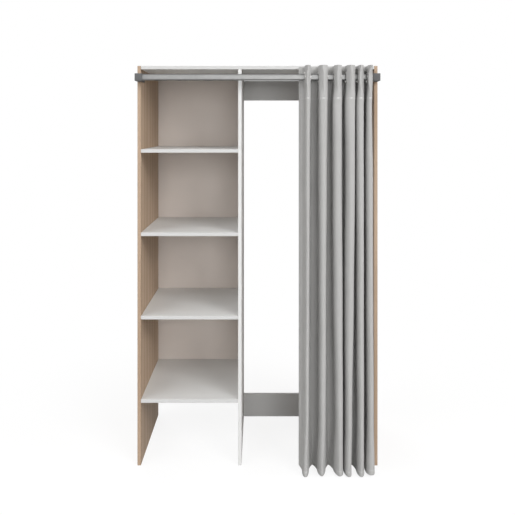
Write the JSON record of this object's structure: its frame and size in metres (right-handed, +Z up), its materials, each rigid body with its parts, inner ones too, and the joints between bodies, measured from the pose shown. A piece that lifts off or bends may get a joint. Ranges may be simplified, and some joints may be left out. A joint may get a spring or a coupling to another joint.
{
  "type": "curtain wardrobe",
  "caption": "Free-standing board wardrobe with an open shelf bay, a hanging bay and a grey eyelet curtain that draws along a front rail.",
  "frame": {"origin": "on the floor, in the middle of the box round the whole wardrobe with its curtain", "axes": "+Z up, +Y from the open front to the back, +X to the right as seen from the front"},
  "size_m": [1.12, 0.604, 1.864],
  "materials": {
    "oak_board": "pale oak decor foil on chipboard, satin",
    "white_board": "white melamine on chipboard, satin",
    "white_hardboard": "white painted hardboard",
    "rail_metal": "satin grey",
    "bracket_plastic": "fine texture, dark grey",
    "zinc_screw": "zinc plated",
    "chrome_tube": "bright chrome",
    "eyelet_metal": "satin nickel",
    "curtain_cloth": "plain weave, light grey"
  },
  "bodies": {
    "carcass": {"left_side_panel": "oak_board", "right_side_panel": "oak_board", "centre_partition": "white_board", "top_board": "white_board", "shelf_1": "white_board", "shelf_2": "white_board", "shelf_3": "white_board", "shelf_4": "white_board", "back_panel": "white_hardboard", "top_back_rail": "white_board", "bottom_back_rail": "white_board", "top_screw_left_front": "zinc_screw", "top_screw_left_back": "zinc_screw", "top_screw_right_front": "zinc_screw", "top_screw_right_back": "zinc_screw", "shelf_1_screw_front": "zinc_screw", "shelf_1_screw_back": "zinc_screw", "shelf_2_screw_front": "zinc_screw", "shelf_2_screw_back": "zinc_screw", "shelf_3_screw_front": "zinc_screw", "shelf_3_screw_back": "zinc_screw", "shelf_4_screw_front": "zinc_screw", "shelf_4_screw_back": "zinc_screw", "top_back_rail_screw": "zinc_screw", "bottom_back_rail_screw": "zinc_screw", "curtain_rail": "rail_metal", "left_rail_bracket": "bracket_plastic", "right_rail_bracket": "bracket_plastic", "left_rail_bracket_screw_1": "zinc_screw", "left_rail_bracket_screw_2": "zinc_screw", "right_rail_bracket_screw_1": "zinc_screw", "right_rail_bracket_screw_2": "zinc_screw", "clothes_rail": "chrome_tube", "clothes_rail_socket_left": "chrome_tube", "clothes_rail_socket_right": "chrome_tube", "eyelet_12": "eyelet_metal", "curtain_fold_12": "curtain_cloth"},
    "curtain_11": {"eyelet_11": "eyelet_metal", "curtain_fold_11": "curtain_cloth"},
    "curtain_10": {"eyelet_10": "eyelet_metal", "curtain_fold_10": "curtain_cloth"},
    "curtain_09": {"eyelet_09": "eyelet_metal", "curtain_fold_09": "curtain_cloth"},
    "curtain_08": {"eyelet_08": "eyelet_metal", "curtain_fold_08": "curtain_cloth"},
    "curtain_07": {"eyelet_07": "eyelet_metal", "curtain_fold_07": "curtain_cloth"},
    "curtain_06": {"eyelet_06": "eyelet_metal", "curtain_fold_06": "curtain_cloth"},
    "curtain_05": {"eyelet_05": "eyelet_metal", "curtain_fold_05": "curtain_cloth"},
    "curtain_04": {"eyelet_04": "eyelet_metal", "curtain_fold_04": "curtain_cloth"},
    "curtain_03": {"eyelet_03": "eyelet_metal", "curtain_fold_03": "curtain_cloth"},
    "curtain_02": {"eyelet_02": "eyelet_metal", "curtain_fold_02": "curtain_cloth"},
    "curtain_01": {"eyelet_01": "eyelet_metal", "curtain_fold_01": "curtain_cloth"}
  },
  "joints": [
    {"name": "curtain_draw", "type": "slide", "parent": "carcass", "child": "curtain_11", "axis": [-1, 0, 0], "range_m": [0, 0.065]},
    {"name": "eyelet_10_slide", "type": "slide", "parent": "curtain_11", "child": "curtain_10", "axis": [-1, 0, 0], "range_m": [0, 0.065]},
    {"name": "eyelet_09_slide", "type": "slide", "parent": "curtain_10", "child": "curtain_09", "axis": [-1, 0, 0], "range_m": [0, 0.065]},
    {"name": "eyelet_08_slide", "type": "slide", "parent": "curtain_09", "child": "curtain_08", "axis": [-1, 0, 0], "range_m": [0, 0.065]},
    {"name": "eyelet_07_slide", "type": "slide", "parent": "curtain_08", "child": "curtain_07", "axis": [-1, 0, 0], "range_m": [0, 0.065]},
    {"name": "eyelet_06_slide", "type": "slide", "parent": "curtain_07", "child": "curtain_06", "axis": [-1, 0, 0], "range_m": [0, 0.065]},
    {"name": "eyelet_05_slide", "type": "slide", "parent": "curtain_06", "child": "curtain_05", "axis": [-1, 0, 0], "range_m": [0, 0.065]},
    {"name": "eyelet_04_slide", "type": "slide", "parent": "curtain_05", "child": "curtain_04", "axis": [-1, 0, 0], "range_m": [0, 0.065]},
    {"name": "eyelet_03_slide", "type": "slide", "parent": "curtain_04", "child": "curtain_03", "axis": [-1, 0, 0], "range_m": [0, 0.065]},
    {"name": "eyelet_02_slide", "type": "slide", "parent": "curtain_03", "child": "curtain_02", "axis": [-1, 0, 0], "range_m": [0, 0.065]},
    {"name": "eyelet_01_slide", "type": "slide", "parent": "curtain_02", "child": "curtain_01", "axis": [-1, 0, 0], "range_m": [0, 0.065]}
  ],
  "couplings": [
    {"joint": "eyelet_10_slide", "follows": "curtain_draw", "ratio": 1},
    {"joint": "eyelet_09_slide", "follows": "curtain_draw", "ratio": 1},
    {"joint": "eyelet_08_slide", "follows": "curtain_draw", "ratio": 1},
    {"joint": "eyelet_07_slide", "follows": "curtain_draw", "ratio": 1},
    {"joint": "eyelet_06_slide", "follows": "curtain_draw", "ratio": 1},
    {"joint": "eyelet_05_slide", "follows": "curtain_draw", "ratio": 1},
    {"joint": "eyelet_04_slide", "follows": "curtain_draw", "ratio": 1},
    {"joint": "eyelet_03_slide", "follows": "curtain_draw", "ratio": 1},
    {"joint": "eyelet_02_slide", "follows": "curtain_draw", "ratio": 1},
    {"joint": "eyelet_01_slide", "follows": "curtain_draw", "ratio": 1}
  ]
}
